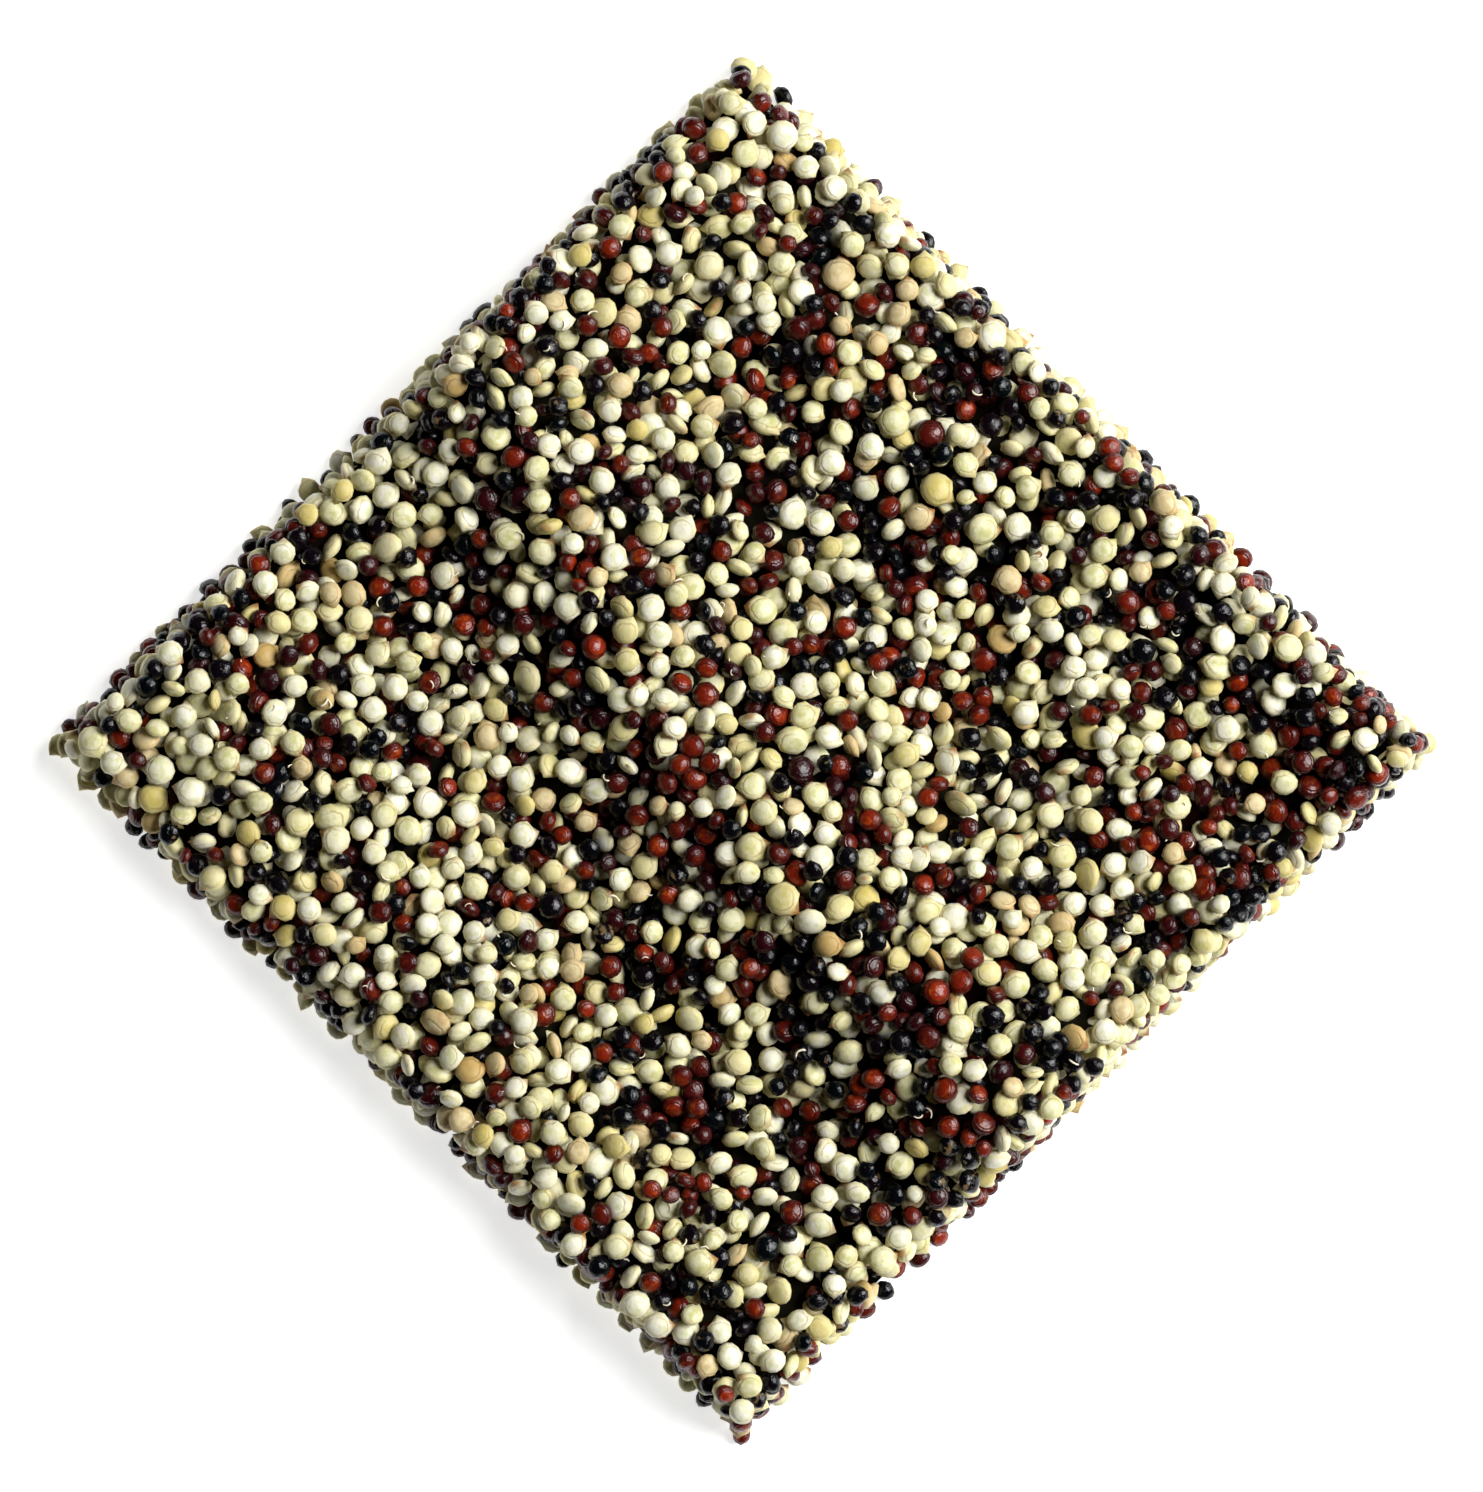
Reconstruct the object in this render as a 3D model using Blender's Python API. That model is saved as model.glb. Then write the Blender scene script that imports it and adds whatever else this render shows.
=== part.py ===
"""A square bed of loose tricolour quinoa: white, red and black seeds, lying in low ridges and furrows.

Metres, +Z up. The bed rests on Z = 0 and is centred on the Z axis, with its sides along X and Y.
The ridges run nearly along X, one behind another in Y. The seeds are too many to model one by one,
so the bed is one solid whose whole top and sides are covered by bumps of the seeds' size.
"""

import math
import random

import bmesh
import bpy
from mathutils import Vector, noise

MM = 0.001

# Driving dimensions of the bed.
SIDE = 80.0 * MM  # along the foot of each side
LEAN = 1.8 * MM  # how far each side leans in, from its foot up to its shoulder
BASE_HEIGHT = 7.3 * MM  # height in the furrows
SHOULDER_WIDTH = 2.6 * MM
SHOULDER_DROP = 1.2 * MM

# The ridges, in millimetres: where the crest crosses the bed's middle, how far it bows by the sides,
# its height, and the widths of its two flanks.
RIDGES = (
    {"offset": -31.0, "bow": 0.0, "height": 2.4, "before": 9.0, "after": 8.0},
    {"offset": -3.0, "bow": 5.5, "height": 5.2, "before": 7.5, "after": 13.5},
    {"offset": 25.5, "bow": -3.0, "height": 1.5, "before": 3.8, "after": 3.2},
    {"offset": 41.0, "bow": 0.0, "height": 2.3, "before": 6.5, "after": 8.0},
)
RIDGE_TURN = math.radians(10.0)  # the ridges are turned this far from X, clockwise seen from above
HALF_SIDE_MM = 40.0
RIPPLE_HEIGHT_MM = 0.55  # shallow dips and rises all over
RIPPLE_LENGTH_MM = 12.0

# The three kinds of seed: each one's share of the mix and its finish.
SEEDS = {
    "white_seed": {"share": 0.57, "colour": (0.72, 0.65, 0.40), "roughness": 0.55},
    "red_seed": {"share": 0.25, "colour": (0.20, 0.022, 0.010), "roughness": 0.35},
    "black_seed": {"share": 0.18, "colour": (0.010, 0.012, 0.016), "roughness": 0.45},
}

# The bumps, one for each seed.
SEED_SPACING = 2.15 * MM
BUMP_HEIGHT = 0.9 * MM  # from the bottom of the gap between two seeds up to a seed's crown
FLANK = 0.55  # how far a bump's flank reaches from the gap, in seed spacings
CORE_HALF = SIDE / 2 - 4.0 * MM  # the bumps point straight away from a block of this half width
CORE_HEIGHT = 4.5 * MM

# The fine grid that takes the bumps, and how far it is then thinned out.
CELLS = 160  # along one side of the top
WALL_ROWS = 18
SHELL_TRIANGLES = 11400
CORNER = 1e-6  # a point this close to a corner belongs to both sides
RANDOM_SEED = 7


def clear_scene():
    for thing in list(bpy.data.objects):
        bpy.data.objects.remove(thing)


def make_material(name, colour, roughness):
    material = bpy.data.materials.new(name)
    material.use_nodes = True
    shader = material.node_tree.nodes["Principled BSDF"]
    shader.inputs["Base Color"].default_value = (*colour, 1.0)
    shader.inputs["Roughness"].default_value = roughness
    shader.inputs["Metallic"].default_value = 0.0
    material.diffuse_color = (*colour, 1.0)
    return material


def ridge_height(across, along, ridge):
    """Height in millimetres that one ridge adds."""
    crest = ridge["offset"] + ridge["bow"] * (along / HALF_SIDE_MM) ** 2
    distance = across - crest
    width = ridge["after"] if distance > 0 else ridge["before"]
    return ridge["height"] * math.exp(-((distance / width) ** 2))


def relief(x, y):
    """Height of the seeds above the floor, before the shoulder falls away."""
    x_mm, y_mm = x / MM, y / MM
    across = y_mm * math.cos(RIDGE_TURN) + x_mm * math.sin(RIDGE_TURN)
    along = x_mm * math.cos(RIDGE_TURN) - y_mm * math.sin(RIDGE_TURN)
    ridges = sum(ridge_height(across, along, ridge) for ridge in RIDGES)
    ripple = RIPPLE_HEIGHT_MM * noise.noise(Vector((x_mm, y_mm, 0.0)) / RIPPLE_LENGTH_MM)
    return BASE_HEIGHT + (ridges + ripple) * MM


def shoulder(x, y):
    """How far the top falls away near a side."""
    inward = SIDE / 2 - LEAN - max(abs(x), abs(y))
    share = max(0.0, 1.0 - inward / SHOULDER_WIDTH)
    return SHOULDER_DROP * share * share


def border_edges(mesh):
    return [edge for edge in mesh.edges if edge.is_boundary]


def raise_top(mesh):
    """A fine grid over the whole bed, at the height of the seeds."""
    bmesh.ops.create_grid(mesh, x_segments=CELLS, y_segments=CELLS, size=SIDE / 2 - LEAN)
    for point in mesh.verts:
        point.co.z = relief(point.co.x, point.co.y) - shoulder(point.co.x, point.co.y)


def drop_walls(mesh):
    """The four sides, drawn down and out from the top's border row by row to the floor."""
    for level in range(1, WALL_ROWS + 1):
        drawn = bmesh.ops.extrude_edge_only(mesh, edges=border_edges(mesh))
        rows_left = WALL_ROWS - level
        for point in [thing for thing in drawn["geom"] if isinstance(thing, bmesh.types.BMVert)]:
            x_reach = SIDE / 2 if abs(point.co.x) >= abs(point.co.y) - CORNER else abs(point.co.x)
            y_reach = SIDE / 2 if abs(point.co.y) >= abs(point.co.x) - CORNER else abs(point.co.y)
            point.co.x += (math.copysign(x_reach, point.co.x) - point.co.x) / (rows_left + 1)
            point.co.y += (math.copysign(y_reach, point.co.y) - point.co.y) / (rows_left + 1)
            point.co.z *= rows_left / (rows_left + 1)


def outward(place):
    """The direction straight away from the core block: up from the top, sideways from the sides."""
    nearest = Vector((
        max(-CORE_HALF, min(CORE_HALF, place.x)),
        max(-CORE_HALF, min(CORE_HALF, place.y)),
        min(CORE_HEIGHT, place.z),
    ))
    return (place - nearest).normalized()


def bump(place):
    """How far the surface stands out at a place: most over a seed, least in the gap between two."""
    nearest, next_nearest = noise.voronoi(place / SEED_SPACING)[0][:2]
    climbed = min(1.0, (next_nearest - nearest) / FLANK)
    return BUMP_HEIGHT * (math.sin(climbed * math.pi / 2) - 0.5)


def raise_bumps(mesh):
    moved = [point.co + outward(point.co) * bump(point.co) for point in mesh.verts]
    for point, place in zip(mesh.verts, moved):
        point.co = place


def thin_out(mesh):
    """Collapses the fine grid to few triangles, and returns them as a mesh."""
    bmesh.ops.triangulate(mesh, faces=mesh.faces)
    data = bpy.data.meshes.new("fine_shell")
    mesh.to_mesh(data)
    shell = bpy.data.objects.new("fine_shell", data)
    bpy.context.scene.collection.objects.link(shell)
    thin = shell.modifiers.new("thin_out", "DECIMATE")
    thin.ratio = SHELL_TRIANGLES / len(data.polygons)
    thinned = bpy.data.meshes.new_from_object(shell.evaluated_get(bpy.context.evaluated_depsgraph_get()))
    bpy.data.objects.remove(shell)
    return thinned


def close_base(mesh):
    """Sets the foot of the sides on the floor and fills the flat base."""
    foot = border_edges(mesh)
    for edge in foot:
        for point in edge.verts:
            point.co.z = 0.0
    base = bmesh.ops.contextual_create(mesh, geom=foot)
    bmesh.ops.triangulate(mesh, faces=base["faces"])
    bmesh.ops.recalc_face_normals(mesh, faces=mesh.faces)


def paint_bumps(mesh):
    """Gives each bump the finish of one kind of seed, drawn by the kinds' shares of the mix."""
    shares = [seed["share"] for seed in SEEDS.values()]
    kinds = {}
    for face in mesh.faces:
        middle = noise.voronoi(face.calc_center_median() / SEED_SPACING)[1][0].freeze()
        if middle not in kinds:
            kinds[middle] = random.choices(range(len(shares)), shares)[0]
        face.material_index = kinds[middle]


def make_bed(collection, materials):
    mesh = bmesh.new()
    raise_top(mesh)
    drop_walls(mesh)
    raise_bumps(mesh)
    data = thin_out(mesh)
    mesh.clear()
    mesh.from_mesh(data)
    close_base(mesh)
    paint_bumps(mesh)
    mesh.to_mesh(data)
    mesh.free()
    data.name = "quinoa_bed"
    for material in materials:
        data.materials.append(material)
    collection.objects.link(bpy.data.objects.new("quinoa_bed", data))


def main():
    random.seed(RANDOM_SEED)
    clear_scene()
    quinoa = bpy.data.collections.new("quinoa")
    bpy.context.scene.collection.children.link(quinoa)
    materials = [make_material(name, seed["colour"], seed["roughness"]) for name, seed in SEEDS.items()]
    make_bed(quinoa, materials)


main()
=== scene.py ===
import math

import bpy
import numpy as np
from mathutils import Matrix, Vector, noise


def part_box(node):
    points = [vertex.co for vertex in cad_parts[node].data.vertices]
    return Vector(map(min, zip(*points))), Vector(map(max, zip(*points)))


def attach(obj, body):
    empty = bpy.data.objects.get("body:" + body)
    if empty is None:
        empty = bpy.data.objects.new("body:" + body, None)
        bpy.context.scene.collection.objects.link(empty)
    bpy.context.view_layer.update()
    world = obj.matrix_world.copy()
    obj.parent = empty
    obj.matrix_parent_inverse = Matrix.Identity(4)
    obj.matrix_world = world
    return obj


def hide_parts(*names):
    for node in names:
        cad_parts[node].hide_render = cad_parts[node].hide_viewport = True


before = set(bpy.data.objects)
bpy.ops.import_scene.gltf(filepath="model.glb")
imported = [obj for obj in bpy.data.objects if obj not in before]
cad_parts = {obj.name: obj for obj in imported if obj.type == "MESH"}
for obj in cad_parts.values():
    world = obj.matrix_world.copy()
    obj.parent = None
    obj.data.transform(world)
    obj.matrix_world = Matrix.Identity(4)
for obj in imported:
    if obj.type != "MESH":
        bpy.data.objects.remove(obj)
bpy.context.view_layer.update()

mm = 0.001  # the seeds are laid out in millimetres, and each finished mesh is in metres
chance = np.random.default_rng(20)  # another number pours another bed of the same kind


# The camera looks straight down, rolled so that the square stands on its corner, as in the photograph.
camera = {
    "photoWidth": 1483,
    "photoHeight": 1492,
    "pixelsPerMm": 12.4,
    "centrePixel": (741.5, 745.5),  # where the bed's middle is in the photograph
    "lensMm": 150.0,
    "sensorMm": 36.0,
    "roll": 45.0,
    "clip": (0.01, 20.0),
}


def addCamera():
    data = bpy.data.cameras.new("photoCamera")
    data.sensor_width = camera["sensorMm"]
    data.lens = camera["lensMm"]
    frameMm = camera["photoHeight"] / camera["pixelsPerMm"]  # the longer side sets the sensor's fit
    away = frameMm * camera["lensMm"] / camera["sensorMm"]
    data.shift_x = (camera["photoWidth"] / 2 - camera["centrePixel"][0]) / camera["photoHeight"]
    data.shift_y = (camera["centrePixel"][1] - camera["photoHeight"] / 2) / camera["photoHeight"]
    data.clip_start, data.clip_end = camera["clip"]
    thing = bpy.data.objects.new("photoCamera", data)
    thing.location = (0.0, 0.0, away * mm)
    thing.rotation_euler = (0.0, 0.0, math.radians(camera["roll"]))
    bpy.context.scene.collection.objects.link(thing)
    bpy.context.scene.camera = thing


addCamera()
print("camera set")


# The bed's own form, in mm and degrees: the same low ridges as the solid that carries it.
bed = {
    "proud": 0.6,  # how far the solid's bumps reach past the bed's outline
    "lean": 1.8,
    "baseHeight": 7.3,
    "shoulderWidth": 2.6,
    "shoulderDrop": 1.2,
    "ridgeTurn": 10.0,
    "ridges": (  # where each crest crosses the middle, its bow, its height, its two flanks' widths
        (-31.0, 0.0, 2.4, 9.0, 8.0),
        (-3.0, 5.5, 5.2, 7.5, 13.5),
        (25.5, -3.0, 1.5, 3.8, 3.2),
        (41.0, 0.0, 2.3, 6.5, 8.0),
    ),
    "ripple": 0.55,
    "rippleLength": 12.0,
}
low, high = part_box("quinoa_bed")
bed["halfFoot"] = (high.x - low.x) / 2 / mm - bed["proud"]
bed["halfTop"] = bed["halfFoot"] - bed["lean"]
bed["highest"] = float(high.z) / mm


def topHeight(x, y):
    turn = math.radians(bed["ridgeTurn"])
    across = y * math.cos(turn) + x * math.sin(turn)
    along = x * math.cos(turn) - y * math.sin(turn)
    height = bed["baseHeight"] + bed["ripple"] * noise.noise(Vector((x, y, 0.0)) / bed["rippleLength"])
    for offset, bow, rise, before, after in bed["ridges"]:
        distance = across - offset - bow * (along / bed["halfFoot"]) ** 2
        height += rise * math.exp(-((distance / (after if distance > 0 else before)) ** 2))
    inward = bed["halfTop"] - max(abs(x), abs(y))
    return height - bed["shoulderDrop"] * max(0.0, 1.0 - inward / bed["shoulderWidth"]) ** 2


def insideTop(x, y):
    # the height of the bed's top, at the nearest place on it
    inside = bed["halfTop"] / max(abs(x), abs(y), bed["halfTop"])
    return topHeight(x * inside, y * inside)


# The three kinds of seed, in mm, worked from the photograph. The share is of the seeds poured: small ones
# settle more easily, so fewer of them are drawn. The tilt is how far they lean, in degrees. The beak, the
# notch and the lumps are shares of the half width, and the lift, which is how far the rim stands above the
# place a seed is laid by, is a share of the half thickness. Rings make a seed's rim blunter than a ball's:
# each is where it stands in degrees up from the rim, then its reach and its height, as the same shares.
seeds = {
    "white": {
        "width": 2.2, "thick": 1.17, "share": 0.65, "tilt": 52.0,
        "beak": 0.22, "notch": 0.12, "lumps": 0.02, "lift": 0.04,
        "rings": {},
    },
    "red": {
        "width": 1.9, "thick": 1.27, "share": 0.22, "tilt": 58.0,
        "beak": 0.06, "notch": 0.05, "lumps": 0.02, "lift": 0.0,
        "rings": {60: (0.60, 0.86), 30: (0.89, 0.52)},
    },
    "black": {
        "width": 1.82, "thick": 1.1, "share": 0.13, "tilt": 55.0,
        "beak": 0.08, "notch": 0.06, "lumps": 0.05, "lift": 0.02,
        "rings": {},
    },
}

# How the seeds are poured, in mm and degrees.
pouring = {
    "step": 1.3,  # between the sites that seeds are poured at, the lowest first
    "rowShare": 0.8,  # the rows up a side are this share of a step apart
    "underEdge": 0.3,  # a side's sites end this far under the top's edge
    "shuffle": 0.5,  # sites this near to the lowest may come first
    "jitter": 0.5,  # how far beside its site a seed is let go
    "choices": 24,  # each seed settles in the deepest of this many resting places near by,
    "stray": 0.75,  # this far to either side,
    "rock": 9.0,  # and with its lean changed by about this
    "ball": 0.86,  # the balls round a seed's rim, as a share of the one in its middle
    "cell": 3.0,  # the seeds already laid are kept by cells of this size
    "probe": 1.2,  # a seed looks for them in the cells about a place this far under the bed's form,
    "reach": 3.1,  # and feels those within this reach
    "covers": 0.85,  # a laid seed fills the sites this near to it
    "crown": 0.25,  # up to this far under its highest point
    "settle": 0.05,  # and its own site by this much more
    "layers": {  # how deep each is, how far its sites stay inside its edge, how far its seeds may stand
        # under or over the bed's form, and how much fuller a site counts when a seed finds no place there
        "foot": {"depth": 1.9, "inset": 0.8, "slack": (-0.2, 0.2), "miss": 0.5},
        "side": {"depth": 4.0, "inset": 0.8, "slack": (-0.05, 0.05), "miss": 0.35},
        "top": {"depth": 3.3, "inset": 0.6, "slack": (-0.3, 0.4), "miss": 0.5},
    },
    "footWidth": 4.5,  # of the course along the foot
    "outermost": 1.2,  # a seed in a side with less room than this in front of it is pushed outwards,
    "flush": 0.9,  # this share of the way to the flat of the side
    "full": -0.3,  # a site counts as full this near to the bed's form
    "overhang": 0.2,  # how far past the top's edge its seeds may lie
    "uneven": 0.1,  # how much the seeds' sizes differ
    "leastShare": 0.03,  # neither red nor black seeds are ever rarer than this
    "clump": 0.12,  # how much the mix changes from one clump to the next
    "clumpLength": 5.0,
    "blackClumps": Vector((0.0, 0.0, 40.0)),  # so that black seeds clump in other places than red ones
    "gather": 0.6,  # how strongly the patches below show
    "patches": (  # where one kind gathers: mm right and up from the middle as photographed, how far it
        # reaches, and how much more red and black there is
        (18.6, 32.0, 5.0, 0.20, 0.35), (9.0, 22.0, 5.5, 0.30, 0.20), (2.0, 28.5, 4.0, 0.15, 0.15),
        (22.0, 14.5, 4.5, 0.25, 0.15), (34.0, 10.5, 5.0, 0.15, 0.20), (47.0, -4.0, 6.5, 0.20, 0.25),
        (6.5, -18.0, 4.5, 0.10, 0.45), (-12.5, 1.0, 4.0, 0.10, 0.20), (-21.5, 13.5, 4.5, 0.15, 0.15),
        (-33.0, 0.5, 4.5, 0.35, 0.10), (-19.0, 32.5, 4.5, 0.10, 0.25), (-4.5, -35.0, 4.0, 0.20, 0.20),
        (9.5, -29.0, 4.0, 0.25, 0.10), (19.5, -26.0, 4.0, 0.25, 0.20), (-40.0, 14.0, 4.0, 0.20, 0.10),
        (-3.5, 45.0, 5.0, -0.20, -0.20), (-4.0, 6.5, 5.0, -0.15, -0.15), (12.0, -3.0, 5.5, -0.20, -0.20),
        (27.5, -16.5, 6.0, -0.25, -0.20), (-33.0, 13.0, 4.0, -0.20, -0.15), (-20.0, -30.0, 9.0, -0.20, -0.15),
        (5.5, -42.0, 5.0, -0.20, -0.15), (-42.0, -4.0, 4.5, -0.20, -0.15),
    ),
}
ringBalls = 8
rim = np.linspace(0.0, math.tau, ringBalls, endpoint=False)
beside = (-1, 0, 1)
steep = 0.8  # an axis that rises more than this is turned by way of X
nowhere = -99.0  # lower than any resting place


def ballsOf(kind, size):
    # a seed as one middle ball and a ring of smaller ones, which is how it feels its neighbours
    half = seeds[kind]["width"] * size / 2
    thick = seeds[kind]["thick"] * size / 2
    radius = thick * pouring["ball"]
    ring = np.stack([np.cos(rim), np.sin(rim), np.zeros(ringBalls)], 1) * (half - radius)
    return np.vstack([np.zeros(3), ring]), np.array([thick] + [radius] * ringBalls)


def turnsTo(axes):
    # for each axis a turn that brings a seed's own upright axis to it
    helper = np.where(np.abs(axes[:, 2:]) < steep, [[0.0, 0.0, 1.0]], [[1.0, 0.0, 0.0]])
    first = np.cross(helper, axes)
    first /= np.linalg.norm(first, axis=1, keepdims=True)
    return np.stack([first, np.cross(axes, first), axes], 2)


def pickKind(place):
    spot = Vector(place) / pouring["clumpLength"]
    redder = seeds["red"]["share"] + pouring["clump"] * noise.noise(spot)
    blacker = seeds["black"]["share"] + pouring["clump"] * noise.noise(spot + pouring["blackClumps"])
    c, s = math.cos(math.radians(camera["roll"])), math.sin(math.radians(camera["roll"]))
    right, above = c * place[0] + s * place[1], c * place[1] - s * place[0]
    for patchRight, patchUp, reach, moreRed, moreBlack in pouring["patches"]:
        distance = math.hypot(right - patchRight, above - patchUp)
        share = pouring["gather"] * math.exp(-((distance / reach) ** 2))
        redder += moreRed * share
        blacker += moreBlack * share
    draw = chance.random()
    redder = max(pouring["leastShare"], redder)
    blacker = max(pouring["leastShare"], blacker)
    return "red" if draw < redder else "black" if draw < redder + blacker else "white"


# The faces that seeds are poured on, each as its layer, two directions along it and the one out of it. The
# foot is a course along the bed's edges, which lies on the floor and carries the sides.
def sideFace(quarter):
    c, s = round(math.cos(quarter * math.pi / 2)), round(math.sin(quarter * math.pi / 2))
    return "side", np.array([[-s, 0.0, c], [c, 0.0, s], [0.0, 1.0, 0.0]])


faces = [("foot", np.eye(3)), sideFace(0), sideFace(2), sideFace(1), sideFace(3), ("top", np.eye(3))]


def formAt(layer, face, along, up):
    # how far out the bed's form stands at a place on a face, and the face's lowest and highest corner there
    if layer == "foot":
        reach = bed["halfFoot"]
        return pouring["layers"]["foot"]["depth"], (-reach, -reach), (reach, reach)
    if layer == "top":
        reach = bed["halfTop"] + pouring["overhang"]
        return topHeight(along, up), (-reach, -reach), (reach, reach)
    x, y, _ = face @ (along, 0.0, bed["halfTop"])
    top = insideTop(x, y)
    out = bed["halfFoot"] - bed["lean"] * up / top
    return out, (-out, 0.0), (out, top)


def sitesOn(layer, face):
    # the places on a face that seeds are poured at
    edge = (bed["halfTop"] if layer == "top" else bed["halfFoot"]) - pouring["layers"][layer]["inset"]
    across = np.linspace(-edge, edge, round(2 * edge / pouring["step"]))
    if layer == "side":
        rowStep = pouring["step"] * pouring["rowShare"]
        upwards = np.arange(pouring["layers"]["foot"]["depth"], bed["highest"], rowStep)
        sites = [(along, up) for along in across for up in upwards]
        return [site for site in sites if site[1] < formAt(layer, face, *site)[2][1] - pouring["underEdge"]]
    sites = [(along, up) for along in across for up in across]
    if layer == "foot":
        sites = [site for site in sites if max(np.abs(site)) > bed["halfFoot"] - pouring["footWidth"]]
    return sites


def cellOf(place):
    return tuple(int(value // pouring["cell"]) for value in place)


def drawPlaces(kind, balls, radii, face, middle, lowest, highest):
    # the resting places that a seed may try: each as its turn, where its balls are and how far it strays
    choices, stray = pouring["choices"], pouring["stray"]
    lean = abs(chance.normal(0.0, seeds[kind]["tilt"]))
    tilt = np.radians(lean + chance.normal(0.0, pouring["rock"], choices))
    heading = chance.uniform(0.0, math.tau, choices)
    axes = np.stack([np.sin(tilt) * np.cos(heading), np.sin(tilt) * np.sin(heading), np.cos(tilt)], 1)
    turns = turnsTo(axes @ face)  # they lie flat as they settle, whichever face they are seen on
    spots = np.einsum("kij,bj->kbi", turns, balls)
    shifts = chance.uniform(-stray, stray, (choices, 2)) + middle
    for axis in (0, 1):  # none of its balls may stand past the face's own edges
        reach = shifts[:, axis, None] + spots[:, :, axis]
        shifts[:, axis] += np.maximum(0.0, lowest[axis] - (reach - radii).min(1))
        shifts[:, axis] -= np.maximum(0.0, (reach + radii).max(1) - highest[axis])
    spots[:, :, :2] += shifts[:, None]
    return turns, spots, shifts


def ballsNear(cells, face, place, middle):
    # the balls already laid about a place, as seen on the face
    i, j, k = cellOf(place - face[:, 2] * pouring["probe"])
    around = [(i + a, j + b, k + c) for a in beside for b in beside for c in beside]
    near = [block for cell in around for block in cells.get(cell, ())]
    near = np.concatenate(near) if near else np.zeros((0, 4))
    near = np.hstack([near[:, :3] @ face, near[:, 3:]])
    return near[np.hypot(near[:, 0] - middle[0], near[:, 1] - middle[1]) < pouring["reach"]]


def restingHeights(spots, radii, near, bottom):
    # how far out a seed's middle stands when it comes to rest, for each choice of place
    aside = (spots[:, :, None, 0] - near[:, 0]) ** 2 + (spots[:, :, None, 1] - near[:, 1]) ** 2
    touch = (radii[:, None] + near[:, 3]) ** 2 - aside
    rests = np.sqrt(np.maximum(touch, 0.0)) + near[:, 2] - spots[:, :, None, 2]
    rests = np.where(touch > 0, rests, nowhere)
    return np.maximum(rests.max((1, 2), initial=nowhere), bottom + (radii - spots[:, :, 2]).max(1))


def pourOn(layer, face, cells, laid):
    # seeds fall straight on to one face, wherever it is lowest, until nothing more fits under its form
    settings = pouring["layers"][layer]
    sites = sitesOn(layer, face)
    siteX, siteY = np.array(sites).T
    forms = np.array([formAt(layer, face, *site)[0] for site in sites])
    level = np.full(len(sites), -settings["depth"])
    jitter = pouring["jitter"]
    tries = 0
    while level.min() < pouring["full"]:
        tries += 1
        site = int((level + chance.uniform(0.0, pouring["shuffle"], len(level))).argmin())
        x, y = siteX[site] + chance.uniform(-jitter, jitter), siteY[site] + chance.uniform(-jitter, jitter)
        form, lowest, highest = formAt(layer, face, x, y)
        place = face @ (x, y, form)
        kind = pickKind(place)
        size = 1 + chance.normal(0.0, pouring["uneven"])
        balls, radii = ballsOf(kind, size)
        turns, spots, shifts = drawPlaces(kind, balls, radii, face, (x, y), lowest, highest)
        near = ballsNear(cells, face, place, (x, y))
        heights = restingHeights(spots, radii, near, form - settings["depth"])
        best = int(heights.argmin())
        shift, rest = shifts[best], heights[best]
        top = rest + (spots[best, :, 2] + radii).max()
        room = formAt(layer, face, *shift)[0] + chance.uniform(*settings["slack"]) - top
        if room < 0:
            level[site] += settings["miss"]
            continue
        if layer == "side" and room < pouring["outermost"]:
            rest += room * pouring["flush"]
        middle = face @ (*shift, rest)
        block = np.hstack([(spots[best] + (0.0, 0.0, rest)) @ face.T, radii[:, None]])
        cells.setdefault(cellOf(middle), []).append(block)
        laid.append({"kind": kind, "size": size, "place": middle, "turn": face @ turns[best]})
        covered = np.hypot(siteX - shift[0], siteY - shift[1]) < pouring["covers"]
        level[covered] = np.maximum(level[covered], (top - pouring["crown"]) - forms[covered])
        level[site] += pouring["settle"]
    print("poured on the", layer + ":", tries, "tries,", len(laid), "seeds so far")


def pourSeeds():
    cells, laid = {}, []
    for layer, face in faces:
        pourOn(layer, face, cells, laid)
    return laid, cells


laid, cells = pourSeeds()
print("seeds laid:", len(laid), {kind: sum(seed["kind"] == kind for seed in laid) for kind in seeds})


def startClean():
    bpy.ops.object.select_all(action="DESELECT")


def linear(hexColour):
    found = []
    for start in (0, 2, 4):
        value = int(hexColour[start:start + 2], 16) / 255
        found.append(value / 12.92 if value <= 0.04045 else ((value + 0.055) / 1.055) ** 2.4)
    return (*found, 1.0)


def addNode(tree, kind, inputs=None, out=0, **settings):
    # one node with its settings; each input is a value, a hex colour or the output of another node
    node = tree.nodes.new("ShaderNode" + kind)
    for name, value in settings.items():
        setattr(node, name, value)
    for name, value in (inputs or {}).items():
        if isinstance(value, bpy.types.NodeSocket):
            tree.links.new(value, node.inputs[name])
        else:
            node.inputs[name].default_value = linear(value) if isinstance(value, str) else value
    return node.outputs[out]


def newMaterial(name, settings):
    material = bpy.data.materials.new(name)
    material.use_nodes = True
    shader = material.node_tree.nodes["Principled BSDF"]
    for socket, value in settings.items():
        shader.inputs[socket].default_value = linear(value) if isinstance(value, str) else value
    return material, material.node_tree, shader


apart = (31.0, 47.0, 23.0)  # sets the patterns of any two seeds well apart


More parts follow.
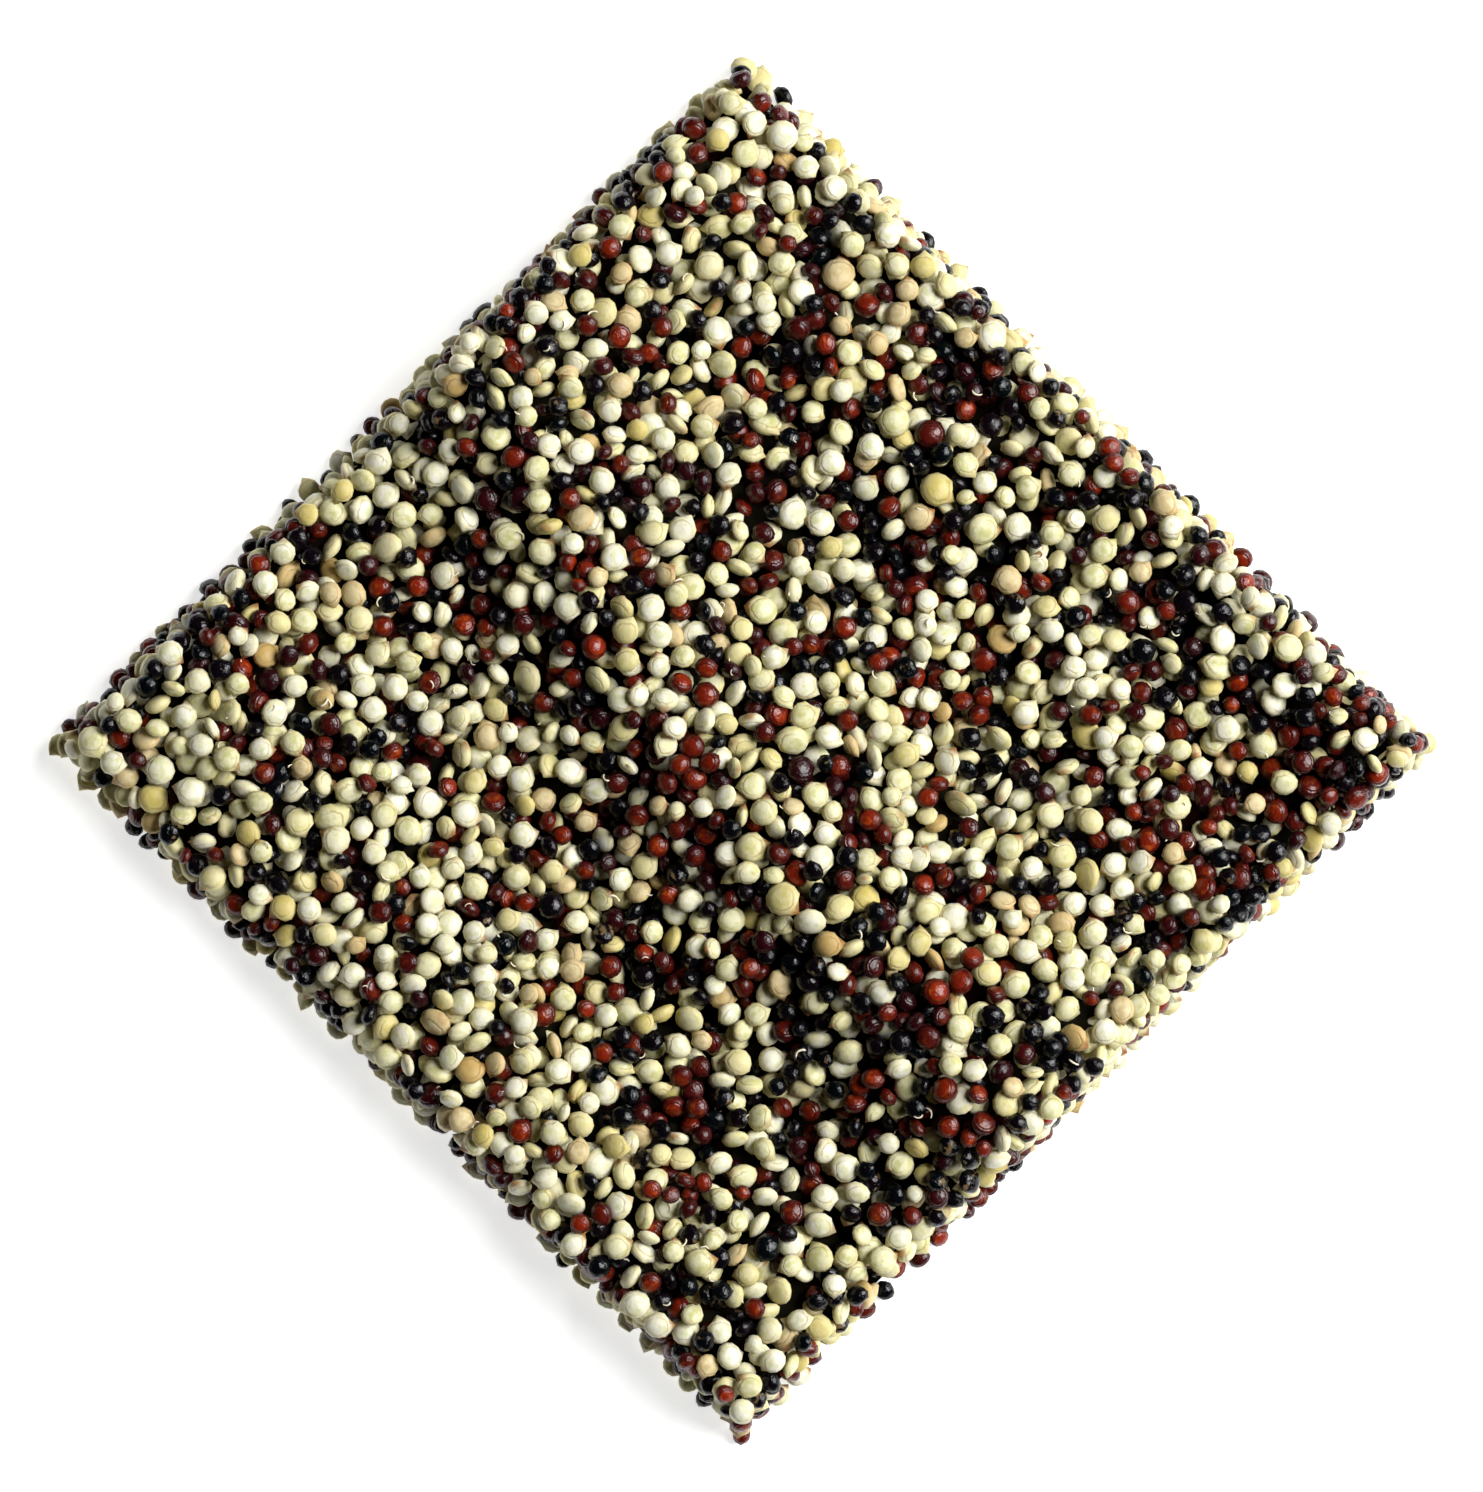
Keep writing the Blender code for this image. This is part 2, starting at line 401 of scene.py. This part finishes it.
def seedCoordinates(tree):
    # the place on the seed (one unit is half its width), a place for patterns that is different on every
    # seed, three marks of its own, and its distance from the axis
    place = addNode(tree, "Attribute", out="Vector", attribute_name="seedPlace")
    mark = addNode(tree, "Attribute", out="Vector", attribute_name="seedMark")
    own = addNode(tree, "VectorMath", {0: mark, 1: apart, 2: place}, operation="MULTIPLY_ADD")
    marks = [addNode(tree, "SeparateXYZ", {0: mark}, out=axis) for axis in range(3)]
    flat = addNode(tree, "VectorMath", {0: place, 1: (1.0, 1.0, 0.0)}, operation="MULTIPLY")
    radius = addNode(tree, "VectorMath", {0: flat}, out="Value", operation="LENGTH")
    return place, own, marks, radius


soft = {"interpolation_type": "SMOOTHSTEP"}
colours = {"data_type": "RGBA"}
mixed = 2  # where a Mix node gives its colour

# In the looks below, a number is a length in mm where its name says so, and otherwise a share of the half
# width or of the pattern. Numbers under 1 and 2 are where a Map Range begins and ends, and those under 3 and
# 4, where they are given, what it gives there.

# Dry white quinoa: a thin papery hull, washed and rubbed. It is matt, lets a little light through, and is
# ivory on the crown and brown at the root's tip; its groove is painted shade, a dark straw colour.
whiteCoats = {
    "ivory": {"crown": "e5e2cf", "cloud": "cdcda2", "rim": "d1c79b", "groove": "9c8857", "ripe": "ccc07c"},
    "cream": {"crown": "dcd8b3", "cloud": "c0be84", "rim": "c7bb84", "groove": "8d7842", "ripe": "bea94d"},
    "tan": {"crown": "d2c297", "cloud": "bda97b", "rim": "bfa571", "groove": "7b5929", "ripe": "b2914b"},
}
whiteLook = {
    "cloudMm": 0.8, "clouded": {1: 0.4, 2: 0.7},
    "ripened": {1: 0.72, 2: 1.0, 4: 0.8},
    "rimmed": {1: 0.62, 2: 0.85, 4: 0.5},
    "grooveAt": 0.46, "grooveWander": 0.5, "grooved": {1: 0.09, 2: 0.0},
    "grooveToTip": {1: -0.4, 2: 0.7, 3: 0.08, 4: 0.55},
    "grooveDepth": -1.5,
    "tip": "93673a", "tipAt": (1.1, 0.0, 0.0), "tipRagged": -0.5, "tipped": {1: 0.62, 2: -0.1},
    "browned": {1: 0.2, 2: 0.9},
    "grainMm": 0.22, "bump": {"Strength": 0.5, "Distance": 0.08 * mm},
    "surface": {
        "Roughness": 0.5,
        "Specular IOR Level": 0.35,
        "Subsurface Weight": 0.4,
        "Subsurface Radius": (1.0, 0.9, 0.35),
        "Subsurface Scale": 0.5 * mm,
    },
}


def whiteCoat(name):
    tones, look = whiteCoats[name], whiteLook
    half = seeds["white"]["width"] / 2
    material, tree, shader = newMaterial("papery_" + name + "_quinoa_hull", look["surface"])
    place, own, marks, radius = seedCoordinates(tree)
    cloud = addNode(tree, "TexNoise", {"Vector": own, "Scale": half / look["cloudMm"], "Detail": 2.0})
    clouded = addNode(tree, "MapRange", {0: cloud, **look["clouded"]}, **soft)
    colour = addNode(tree, "Mix", {0: clouded, 6: tones["crown"], 7: tones["cloud"]}, mixed, **colours)
    ripe = addNode(tree, "MapRange", {0: marks[1], **look["ripened"]}, **soft)
    colour = addNode(tree, "Mix", {0: ripe, 6: colour, 7: tones["ripe"]}, mixed, **colours)
    rimmed = addNode(tree, "MapRange", {0: radius, **look["rimmed"]}, **soft)
    colour = addNode(tree, "Mix", {0: rimmed, 6: colour, 7: tones["rim"]}, mixed, **colours)
    # Painted shade: the groove ring, strongest towards the tip, is darkened to a dark straw colour, and the
    # same line deepens the bump.
    wander = {0: cloud, 1: look["grooveWander"], 2: look["grooveAt"]}
    wander = addNode(tree, "Math", wander, operation="MULTIPLY_ADD")
    off = addNode(tree, "Math", {0: radius, 1: wander}, operation="SUBTRACT")
    off = addNode(tree, "Math", {0: off}, operation="ABSOLUTE")
    groove = addNode(tree, "MapRange", {0: off, **look["grooved"]}, **soft)
    along = addNode(tree, "SeparateXYZ", {0: place})
    nearTip = addNode(tree, "MapRange", {0: along, **look["grooveToTip"]}, **soft)
    lined = addNode(tree, "Math", {0: groove, 1: nearTip}, operation="MULTIPLY")
    colour = addNode(tree, "Mix", {0: lined, 6: colour, 7: tones["groove"]}, mixed, **colours)
    away = addNode(tree, "VectorMath", {0: place, 1: look["tipAt"]}, "Value", operation="DISTANCE")
    ragged = addNode(tree, "Math", {0: cloud, 1: look["tipRagged"], 2: away}, operation="MULTIPLY_ADD")
    tipped = addNode(tree, "MapRange", {0: ragged, **look["tipped"]}, **soft)
    browned = addNode(tree, "MapRange", {0: marks[2], **look["browned"]}, **soft)
    tipped = addNode(tree, "Math", {0: tipped, 1: browned}, operation="MULTIPLY")
    colour = addNode(tree, "Mix", {0: tipped, 6: colour, 7: look["tip"]}, mixed, **colours)
    tree.links.new(colour, shader.inputs["Base Color"])
    grain = addNode(tree, "TexNoise", {"Vector": own, "Scale": half / look["grainMm"], "Detail": 3.0})
    height = addNode(tree, "Math", {0: lined, 1: look["grooveDepth"], 2: grain}, operation="MULTIPLY_ADD")
    bump = addNode(tree, "Bump", {**look["bump"], "Height": height})
    tree.links.new(bump, shader.inputs["Normal"])
    return material


# Dry red quinoa: a smooth waxy hull. It shines softly, and is brick red to a maroon that is nearly black;
# painted shade darkens each seed towards its rim and along its groove.
redLook = {
    "maroon": "25050b", "brick": "7a200b", "bright": "b85518", "groove": "130304",
    "redder": {1: 0.05, 2: 0.95},
    "cloudMm": 0.6, "lighter": {1: 0.5, 2: 0.75, 4: 0.6},
    "rimmed": {1: 0.5, 2: 1.0, 4: 0.75},
    "grooveAt": 0.72, "grooved": {1: 0.1, 2: 0.0, 4: 0.5}, "grooveDepth": -0.8,
    "grainMm": 0.28, "bump": {"Strength": 0.8, "Distance": 0.1 * mm},
    "surface": {"Roughness": 0.22, "Specular IOR Level": 0.4},
}


def redCoat():
    look = redLook
    half = seeds["red"]["width"] / 2
    material, tree, shader = newMaterial("waxy_red_quinoa_hull", look["surface"])
    _, own, marks, radius = seedCoordinates(tree)
    redder = addNode(tree, "MapRange", {0: marks[0], **look["redder"]})
    colour = addNode(tree, "Mix", {0: redder, 6: look["maroon"], 7: look["brick"]}, mixed, **colours)
    cloud = addNode(tree, "TexNoise", {"Vector": own, "Scale": half / look["cloudMm"], "Detail": 3.0})
    lighter = addNode(tree, "MapRange", {0: cloud, **look["lighter"]}, **soft)
    lighter = addNode(tree, "Math", {0: lighter, 1: marks[0]}, operation="MULTIPLY")
    colour = addNode(tree, "Mix", {0: lighter, 6: colour, 7: look["bright"]}, mixed, **colours)
    # Painted shade: each seed darkens to maroon towards its rim.
    rimmed = addNode(tree, "MapRange", {0: radius, **look["rimmed"]}, **soft)
    colour = addNode(tree, "Mix", {0: rimmed, 6: colour, 7: look["maroon"]}, mixed, **colours)
    # Painted shade: the groove ring is darkened towards nearly black, and the same ring deepens the bump.
    off = addNode(tree, "Math", {0: radius, 1: look["grooveAt"]}, operation="SUBTRACT")
    off = addNode(tree, "Math", {0: off}, operation="ABSOLUTE")
    groove = addNode(tree, "MapRange", {0: off, **look["grooved"]}, **soft)
    colour = addNode(tree, "Mix", {0: groove, 6: colour, 7: look["groove"]}, mixed, **colours)
    tree.links.new(colour, shader.inputs["Base Color"])
    grain = addNode(tree, "TexNoise", {"Vector": own, "Scale": half / look["grainMm"], "Detail": 3.0})
    height = addNode(tree, "Math", {0: groove, 1: look["grooveDepth"], 2: grain}, operation="MULTIPLY_ADD")
    bump = addNode(tree, "Bump", {**look["bump"], "Height": height})
    tree.links.new(bump, shader.inputs["Normal"])
    return material


# Dry black quinoa: a thin wrinkled hull. It is blue-black or dark plum with small bright glints, and here
# and there it is scraped through to the straw-coloured seed.
blackLook = {
    "inky": "04080b", "plum": "0d060b", "scraped": "6b573c",
    "scrapeMm": 0.9, "scrapes": {1: 0.6, 2: 0.68}, "worn": {1: 0.75, 2: 0.85},
    "wrinkleMm": 0.34, "wrinkled": {"Detail": 3.0, "Distortion": 0.6},
    "gloss": {1: 0.42, 2: 0.6, 3: 0.12, 4: 0.05},
    "bump": {"Strength": 0.7, "Distance": 0.12 * mm},
    "surface": {"Specular IOR Level": 0.32},
}


def blackCoat():
    look = blackLook
    half = seeds["black"]["width"] / 2
    material, tree, shader = newMaterial("wrinkled_black_quinoa_hull", look["surface"])
    _, own, marks, _ = seedCoordinates(tree)
    colour = addNode(tree, "Mix", {0: marks[0], 6: look["inky"], 7: look["plum"]}, mixed, **colours)
    patch = addNode(tree, "TexNoise", {"Vector": own, "Scale": half / look["scrapeMm"], "Detail": 2.0})
    scraped = addNode(tree, "MapRange", {0: patch, **look["scrapes"]}, **soft)
    worn = addNode(tree, "MapRange", {0: marks[1], **look["worn"]}, **soft)
    scraped = addNode(tree, "Math", {0: scraped, 1: worn}, operation="MULTIPLY")
    colour = addNode(tree, "Mix", {0: scraped, 6: colour, 7: look["scraped"]}, mixed, **colours)
    tree.links.new(colour, shader.inputs["Base Color"])
    wrinkles = {"Vector": own, "Scale": half / look["wrinkleMm"], **look["wrinkled"]}
    wrinkle = addNode(tree, "TexNoise", wrinkles)
    gloss = addNode(tree, "MapRange", {0: wrinkle, **look["gloss"]}, **soft)
    tree.links.new(gloss, shader.inputs["Roughness"])
    bump = addNode(tree, "Bump", {**look["bump"], "Height": wrinkle})
    tree.links.new(bump, shader.inputs["Normal"])
    return material


modelling = {"segments": 12, "rings": 6, "near": 0.01}  # a point this near to a place is taken to be there


def reshape(thing, isChosen, resize=None, move=None, middle=(0.0, 0.0, 0.0)):
    # resizes or moves the chosen points of a model in edit mode
    for point in thing.data.vertices:
        point.select = isChosen(point.co)
    bpy.ops.object.mode_set(mode="EDIT")
    if resize is not None:
        bpy.ops.transform.resize(value=resize, center_override=middle)
    if move is not None:
        bpy.ops.transform.translate(value=move)
    bpy.ops.mesh.select_all(action="DESELECT")
    bpy.ops.object.mode_set(mode="OBJECT")


def pointOutwards():
    bpy.ops.object.mode_set(mode="EDIT")
    bpy.ops.mesh.select_all(action="SELECT")
    bpy.ops.mesh.normals_make_consistent(inside=False)
    bpy.ops.object.mode_set(mode="OBJECT")


def modelSeed(kind):
    # a quinoa seed is a flattened ball, and the root's tip makes a small beak on its rim, beside a notch
    startClean()
    segments, near, lift = modelling["segments"], modelling["near"], seeds[kind]["lift"]
    bpy.ops.mesh.primitive_uv_sphere_add(segments=segments, ring_count=modelling["rings"], radius=1.0)
    seed = bpy.context.object
    seed.name = kind + "SeedModel"
    reshape(seed, lambda place: True, move=(0.0, 0.0, lift))
    for level, (reach, height) in seeds[kind]["rings"].items():
        across = reach / math.cos(math.radians(level))
        for sign in (-1, 1):  # the ring under the rim, and the one over it
            at = math.sin(math.radians(level)) * sign
            reshape(
                seed, lambda place: abs(place.z - lift - at) < near,
                resize=(across, across, 1.0), move=(0.0, 0.0, sign * (height - abs(at))),
            )
    for segment, outwards in ((0, seeds[kind]["beak"]), (1, -seeds[kind]["notch"])):
        angle = segment * math.tau / segments
        way = Vector((math.cos(angle), math.sin(angle), 0.0))
        spot = way + Vector((0.0, 0.0, lift))
        reshape(seed, lambda place: (place - spot).length < near, move=way * outwards)
    pointOutwards()
    return seed


# How much the seeds of one kind differ: a cup or a saddle in the face, an egg's outline, and the two widths
# and the thickness, which are stretched by the usual amount and spread about it.
bends = {
    "cup": 0.09,
    "cupFrom": 0.5,  # this share of the face lies inside the place where the cup crosses it
    "saddle": 0.07,
    "egg": 0.05,
    "usual": (0.0, -0.03, 0.0),
    "spread": (0.035, 0.035, 0.08),
}


def scatter(name, model, group, look, material):
    # every seed of one kind as one mesh, each placed, turned, sized and bent as it was laid
    points = np.array([point.co for point in model.data.vertices])
    corners = [list(face.vertices) for face in model.data.polygons]
    half, thick = look["width"] / 2, look["thick"] / 2
    placed, patterns, marks = [], [], []
    for item in group:
        local = points * (1 + chance.normal(0.0, look["lumps"], (len(points), 1)))
        around = local[:, 0] ** 2 + local[:, 1] ** 2
        cup, saddle, egg = chance.normal(0.0, (bends["cup"], bends["saddle"], bends["egg"]))
        local[:, 2] += cup * (around - bends["cupFrom"]) + saddle * local[:, 0] * local[:, 1]
        local[:, 1] *= 1 + egg * local[:, 0]
        sizes = (half, half, thick) * (1 + chance.normal(bends["usual"], bends["spread"]))
        spin = chance.uniform(0.0, math.tau)
        c, s = math.cos(spin), math.sin(spin)
        turned = local * sizes * item["size"] @ np.array([[c, s, 0.0], [-s, c, 0.0], [0.0, 0.0, 1.0]])
        turned = turned @ item["turn"].T + item["place"]
        turned[:, 2] += max(0.0, -turned[:, 2].min())  # the lowest stand on the floor
        placed.append(turned)
        patterns.append(points)
        marks.append(np.repeat(chance.random((1, 3)), len(points), 0))
    mesh = bpy.data.meshes.new(name)
    firsts = range(0, len(group) * len(points), len(points))
    facesOfAll = [[first + corner for corner in face] for first in firsts for face in corners]
    mesh.from_pydata((np.concatenate(placed) * mm).tolist(), [], facesOfAll)
    mesh.shade_smooth()
    for attribute, values in (("seedPlace", patterns), ("seedMark", marks)):
        layer = mesh.attributes.new(attribute, "FLOAT_VECTOR", "POINT")
        layer.data.foreach_set("vector", np.concatenate(values).ravel())
    mesh.materials.append(material)
    piece = bpy.data.objects.new(name, mesh)
    bpy.context.scene.collection.objects.link(piece)
    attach(piece, "root")
    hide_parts("quinoa_bed")
    triangles = len(group) * sum(len(face) - 2 for face in corners)
    print(name + ":", len(group), "of them,", triangles, "triangles")


whiteShares = {"ivory": 0.50, "cream": 0.41, "tan": 0.09}
models = {kind: modelSeed(kind) for kind in seeds}
groups = {kind: [seed for seed in laid if seed["kind"] == kind] for kind in seeds}
toneOfEach = chance.choice(list(whiteShares), len(groups["white"]), p=list(whiteShares.values()))
for tone in whiteShares:
    group = [seed for seed, its in zip(groups["white"], toneOfEach) if its == tone]
    scatter(tone + "_quinoa_seeds", models["white"], group, seeds["white"], whiteCoat(tone))
scatter("red_quinoa_seeds", models["red"], groups["red"], seeds["red"], redCoat())
scatter("black_quinoa_seeds", models["black"], groups["black"], seeds["black"], blackCoat())
for model in models.values():
    bpy.data.objects.remove(model)


# Loose root tips and threads of husk, pale and curled, which lie here and there on the seeds. Each is
# modelled in mm, so its half width and half thickness are 1.
threads = {
    "count": 170,
    "bow": 0.42,  # the curl's radius
    "turn": 130.0,
    "steps": 6,
    "sides": 5,
    "radius": 0.07,
    "taper": 0.35,  # how thin its two ends are
    "width": 2.0,
    "thick": 2.0,
    "lumps": 0.03,
    "inset": 1.0,
    "lean": 25.0,
    "above": 0.03,
    "sizes": (0.6, 1.25),
}

# Dry husk: thin, matt and straw-pale, so the threads show as light flecks.
huskLook = {"Base Color": "e6dcc0", "Roughness": 0.6, "Specular IOR Level": 0.3}


def modelThread():
    # a short curl that tapers at both ends
    startClean()
    bpy.ops.mesh.primitive_circle_add(
        vertices=threads["sides"], radius=threads["radius"], fill_type="NGON",
        location=(threads["bow"], 0.0, 0.0), rotation=(math.pi / 2, 0.0, 0.0),
    )
    bpy.ops.object.transform_apply(location=True, rotation=True, scale=True)
    curl = bpy.context.object
    curl.name = "threadModel"
    turn = math.radians(threads["turn"])
    bpy.ops.object.mode_set(mode="EDIT")
    bpy.ops.mesh.select_all(action="SELECT")
    bpy.ops.mesh.spin(steps=threads["steps"], angle=turn, center=(0.0, 0.0, 0.0), axis=(0.0, 0.0, 1.0))
    bpy.ops.mesh.select_all(action="DESELECT")
    bpy.ops.object.mode_set(mode="OBJECT")
    for end in (0.0, -turn):  # spin goes round clockwise
        middle = Vector((math.cos(end), math.sin(end), 0.0)) * threads["bow"]
        reshape(
            curl, lambda place: abs(math.atan2(place.y, place.x) - end) < modelling["near"],
            resize=(threads["taper"],) * 3, middle=middle,
        )
    pointOutwards()
    return curl


def surfaceAt(x, y):
    # how high the seeds reach at a place
    i, j, _ = cellOf((x, y, 0.0))
    storeys = range(math.ceil(bed["highest"] / pouring["cell"]) + 1)
    around = [(i + a, j + b, k) for a in beside for b in beside for k in storeys]
    near = np.concatenate([block for cell in around for block in cells.get(cell, ())])
    under = near[:, 3] ** 2 - (near[:, 0] - x) ** 2 - (near[:, 1] - y) ** 2
    return float((near[:, 2] + np.sqrt(np.maximum(under, 0.0)))[under > 0].max(initial=0.0))


def layThreads():
    found = []
    edge = bed["halfTop"] - threads["inset"]
    for place in chance.uniform(-edge, edge, (threads["count"], 2)):
        lean, heading = np.radians(chance.normal(0.0, threads["lean"])), chance.uniform(0.0, math.tau)
        level = math.sin(lean)
        axis = np.array([[level * math.cos(heading), level * math.sin(heading), math.cos(lean)]])
        height = surfaceAt(*place) + threads["above"]
        size = chance.uniform(*threads["sizes"])
        found.append({"size": size, "place": np.array([*place, height]), "turn": turnsTo(axis)[0]})
    return found


curl = modelThread()
husk = newMaterial("dry_husk_thread", huskLook)[0]
scatter("loose_husk_threads", curl, layThreads(), threads, husk)
bpy.data.objects.remove(curl)


# The core: the deeper seeds, painted in deep shade, so they are seen only as dark grain between those on top.
core = {
    "cells": 130,
    "underTop": 2.9,
    "underSide": 2.3,
    "underFoot": 1.7,
    "offFloor": 0.15,
    "bump": 0.5,
    "gap": 0.6,  # how far a bump's flank reaches from the gap between two, as a share of the spacing
    "spacing": 1.9,
    # the three kinds' colours are darkened to near black: painted shade
    "kinds": ((0.0, "14120b"), (0.57, "0d0403"), (0.82, "030405")),  # where each kind begins, and its colour
}

# Seeds in painted deep shade: coloured nearly black and without shine, and each still has a trace of its own
# colour.
shadeLook = {"Roughness": 0.8, "Specular IOR Level": 0.0}


def shadeCoat():
    material, tree, shader = newMaterial("quinoa_painted_deep_shade", shadeLook)
    where = addNode(tree, "TexCoord", out="Object")
    grain = addNode(tree, "TexVoronoi", {"Vector": where, "Scale": 1 / (core["spacing"] * mm)}, "Color")
    draw = addNode(tree, "SeparateColor", {0: grain})
    kinds = addNode(tree, "ValToRGB", {0: draw})
    ramp = kinds.node.color_ramp
    ramp.interpolation = "CONSTANT"
    ramp.elements.new(core["kinds"][1][0])  # a ramp starts with two stops
    for stop, (begins, colour) in zip(ramp.elements, core["kinds"]):
        stop.position, stop.color = begins, linear(colour)
    tree.links.new(kinds, shader.inputs["Base Color"])
    return material


def addCore():
    # a sheet under the top is drawn down to a flat foot, and closed
    startClean()
    across = 2 * (bed["halfTop"] - core["underSide"])
    bpy.ops.mesh.primitive_grid_add(x_subdivisions=core["cells"], y_subdivisions=core["cells"], size=across)
    piece = bpy.context.object
    piece.name = "deeper_quinoa_seeds"
    for point in piece.data.vertices:
        point.co.z = topHeight(point.co.x, point.co.y) - core["underTop"]
    for point in piece.data.vertices:
        nearest, second = noise.voronoi(point.co / core["spacing"])[0][:2]
        point.co.z += core["bump"] * min(1.0, (second - nearest) / core["gap"])
    bpy.ops.object.mode_set(mode="EDIT")
    bpy.ops.mesh.select_all(action="DESELECT")
    bpy.ops.mesh.select_mode(type="EDGE")
    bpy.ops.mesh.select_non_manifold()
    bpy.ops.mesh.extrude_region_move(TRANSFORM_OT_translate={"value": (0.0, 0.0, 0.0)})
    bpy.ops.mesh.edge_face_add()
    bpy.ops.object.mode_set(mode="OBJECT")
    wider = 2 * (bed["halfFoot"] - core["underFoot"]) / across
    for point in piece.data.vertices:
        if point.select:
            point.co = (point.co.x * wider, point.co.y * wider, core["offFloor"])
    bpy.ops.object.mode_set(mode="EDIT")
    bpy.ops.mesh.select_all(action="SELECT")
    bpy.ops.mesh.normals_make_consistent(inside=False)
    bpy.ops.transform.resize(value=(mm, mm, mm), center_override=(0.0, 0.0, 0.0))
    bpy.ops.object.mode_set(mode="OBJECT")
    bpy.ops.object.shade_smooth()
    piece.data.materials.append(shadeCoat())
    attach(piece, "root")
    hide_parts("quinoa_bed")
    print("core laid:", len(piece.data.vertices), "points")


addCore()


# The floor and the light: one soft key from the photograph's right and a little above it, and a weak fill
# from all round.
studio = {
    "floorSize": 3.0,
    "keyPower": 9.8,
    "keySize": 0.55,
    "keyAway": 0.7,
    "keyAzimuth": 61.0,  # from +X towards +Y
    "keyElevation": 45.0,
    "fill": 0.004,
    "fillColour": "f6f4ee",
}

# Matt white card: it takes soft shadows and has no shine. It is lit from behind too, which lightens them.
cardLook = {
    "Base Color": "e8e8e6",
    "Roughness": 0.9,
    "Specular IOR Level": 0.0,
    "Emission Color": "ffffff",
    "Emission Strength": 0.72,
}


def addStudio():
    startClean()
    bpy.ops.mesh.primitive_plane_add(size=studio["floorSize"])
    floor = bpy.context.object
    floor.name = "floor"
    floor.data.materials.append(newMaterial("matt_white_card", cardLook)[0])
    azimuth, elevation = math.radians(studio["keyAzimuth"]), math.radians(studio["keyElevation"])
    level = math.cos(elevation)
    way = Vector((level * math.cos(azimuth), level * math.sin(azimuth), math.sin(elevation)))
    light = bpy.data.lights.new("keyLight", "AREA")
    light.shape = "DISK"
    light.size = studio["keySize"]
    light.energy = studio["keyPower"]
    key = bpy.data.objects.new("keyLight", light)
    key.location = way * studio["keyAway"]
    key.rotation_euler = way.to_track_quat("Z", "Y").to_euler()
    bpy.context.scene.collection.objects.link(key)
    world = bpy.data.worlds.new("studio")
    world.use_nodes = True
    world.node_tree.nodes["Background"].inputs["Color"].default_value = linear(studio["fillColour"])
    world.node_tree.nodes["Background"].inputs["Strength"].default_value = studio["fill"]
    bpy.context.scene.world = world
    bpy.context.scene.view_settings.view_transform = "Standard"
    print("studio set")


addStudio()
